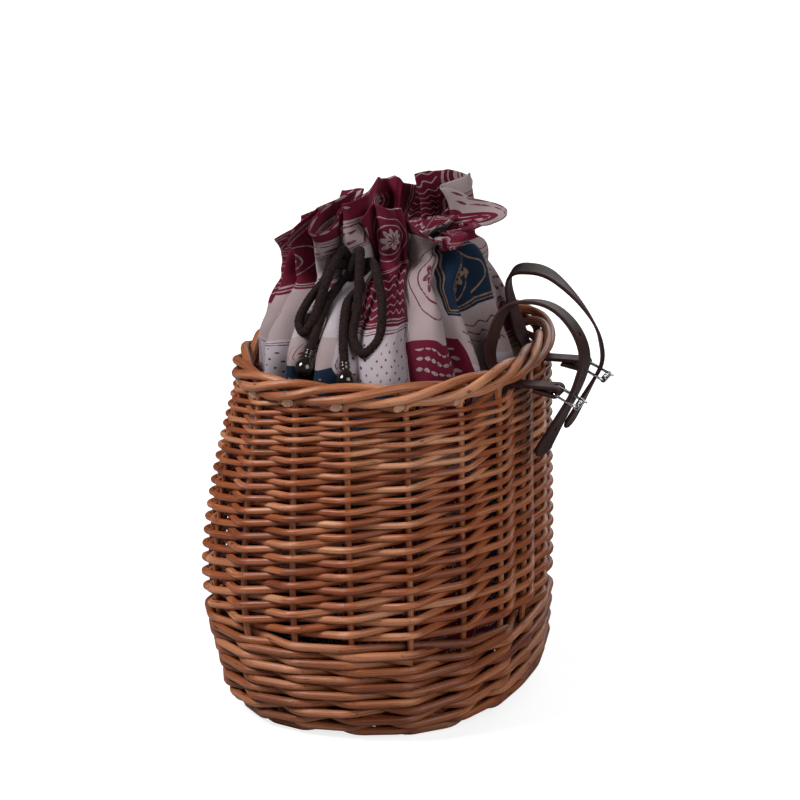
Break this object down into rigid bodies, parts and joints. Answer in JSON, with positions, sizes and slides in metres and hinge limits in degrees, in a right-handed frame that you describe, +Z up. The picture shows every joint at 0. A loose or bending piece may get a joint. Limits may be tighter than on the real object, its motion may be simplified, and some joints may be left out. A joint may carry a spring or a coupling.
{
  "type": "bicycle basket",
  "caption": "Belly-shaped wicker bicycle basket with a drawstring cotton liner and two buckled leather straps that loop over a handlebar.",
  "frame": {"origin": "middle of the base's flat underside, where the basket stands", "axes": "+X along the handlebar to the rider's left, +Y back towards the bicycle where the straps are, +Z up"},
  "size_m": [0.3202, 0.2991, 0.3954],
  "materials": {
    "willow_stake": "stained and varnished willow, satin",
    "willow_weaver": "stained and varnished willow, satin",
    "willow_wale": "stained and varnished willow, satin",
    "willow_base": "stained willow, satin",
    "strap_leather": "smooth dark brown, semi-gloss",
    "buckle_steel": "bright plated steel",
    "liner_cotton": "printed plain-weave cotton",
    "drawstring_knit": "knitted cord, matt",
    "cord_end_plastic": "polished"
  },
  "bodies": {
    "basket": {"base_panel": "willow_base", "stake_01": "willow_stake", "stake_02": "willow_stake", "stake_03": "willow_stake", "stake_04": "willow_stake", "stake_05": "willow_stake", "stake_06": "willow_stake", "stake_07": "willow_stake", "stake_08": "willow_stake", "stake_09": "willow_stake", "stake_10": "willow_stake", "stake_11": "willow_stake", "stake_12": "willow_stake", "stake_13": "willow_stake", "stake_14": "willow_stake", "stake_15": "willow_stake", "stake_16": "willow_stake", "stake_17": "willow_stake", "stake_18": "willow_stake", "stake_19": "willow_stake", "stake_20": "willow_stake", "wale_rod_1": "willow_wale", "wale_rod_2": "willow_wale", "wale_rod_3": "willow_wale", "weaver_01": "willow_weaver", "weaver_02": "willow_weaver", "weaver_03": "willow_weaver", "weaver_04": "willow_weaver", "weaver_05": "willow_weaver", "weaver_06": "willow_weaver", "weaver_07": "willow_weaver", "weaver_08": "willow_weaver", "weaver_09": "willow_weaver", "weaver_10": "willow_weaver", "weaver_11": "willow_weaver", "weaver_12": "willow_weaver", "weaver_13": "willow_weaver", "weaver_14": "willow_weaver", "weaver_15": "willow_weaver", "weaver_16": "willow_weaver", "weaver_17": "willow_weaver", "weaver_18": "willow_weaver", "weaver_19": "willow_weaver", "weaver_20": "willow_weaver", "left_strap": "strap_leather", "right_strap": "strap_leather"},
    "liner": {"liner_bag": "liner_cotton", "drawstring": "drawstring_knit", "cord_end_left": "cord_end_plastic", "cord_end_right": "cord_end_plastic"},
    "left_buckle": {"left_buckle_frame": "buckle_steel"},
    "left_roller": {"left_buckle_roller": "buckle_steel"},
    "left_prong": {"left_buckle_prong": "buckle_steel"},
    "right_buckle": {"right_buckle_frame": "buckle_steel"},
    "right_roller": {"right_buckle_roller": "buckle_steel"},
    "right_prong": {"right_buckle_prong": "buckle_steel"}
  },
  "joints": [
    {"name": "liner_lift", "type": "slide", "parent": "basket", "child": "liner", "axis": [0, 0, 1], "range_m": [0, 0.28]},
    {"name": "left_buckle_swing", "type": "hinge", "parent": "basket", "child": "left_buckle", "pos_m": [0.042, 0.14305, 0.24674], "axis": [1, 0, 0], "range_deg": [-5, 5]},
    {"name": "left_prong_lift", "type": "hinge", "parent": "left_buckle", "child": "left_prong", "pos_m": [0.042, 0.14305, 0.24674], "axis": [1, 0, 0], "range_deg": [0, 8]},
    {"name": "left_roller_spin", "type": "hinge", "parent": "left_buckle", "child": "left_roller", "pos_m": [0.042, 0.15983, 0.23782], "axis": [1, 0, 0], "range_deg": [-180, 180]},
    {"name": "right_buckle_swing", "type": "hinge", "parent": "basket", "child": "right_buckle", "pos_m": [-0.042, 0.14305, 0.24674], "axis": [1, 0, 0], "range_deg": [-5, 5]},
    {"name": "right_prong_lift", "type": "hinge", "parent": "right_buckle", "child": "right_prong", "pos_m": [-0.042, 0.14305, 0.24674], "axis": [1, 0, 0], "range_deg": [0, 8]},
    {"name": "right_roller_spin", "type": "hinge", "parent": "right_buckle", "child": "right_roller", "pos_m": [-0.042, 0.15983, 0.23782], "axis": [1, 0, 0], "range_deg": [-180, 180]}
  ]
}
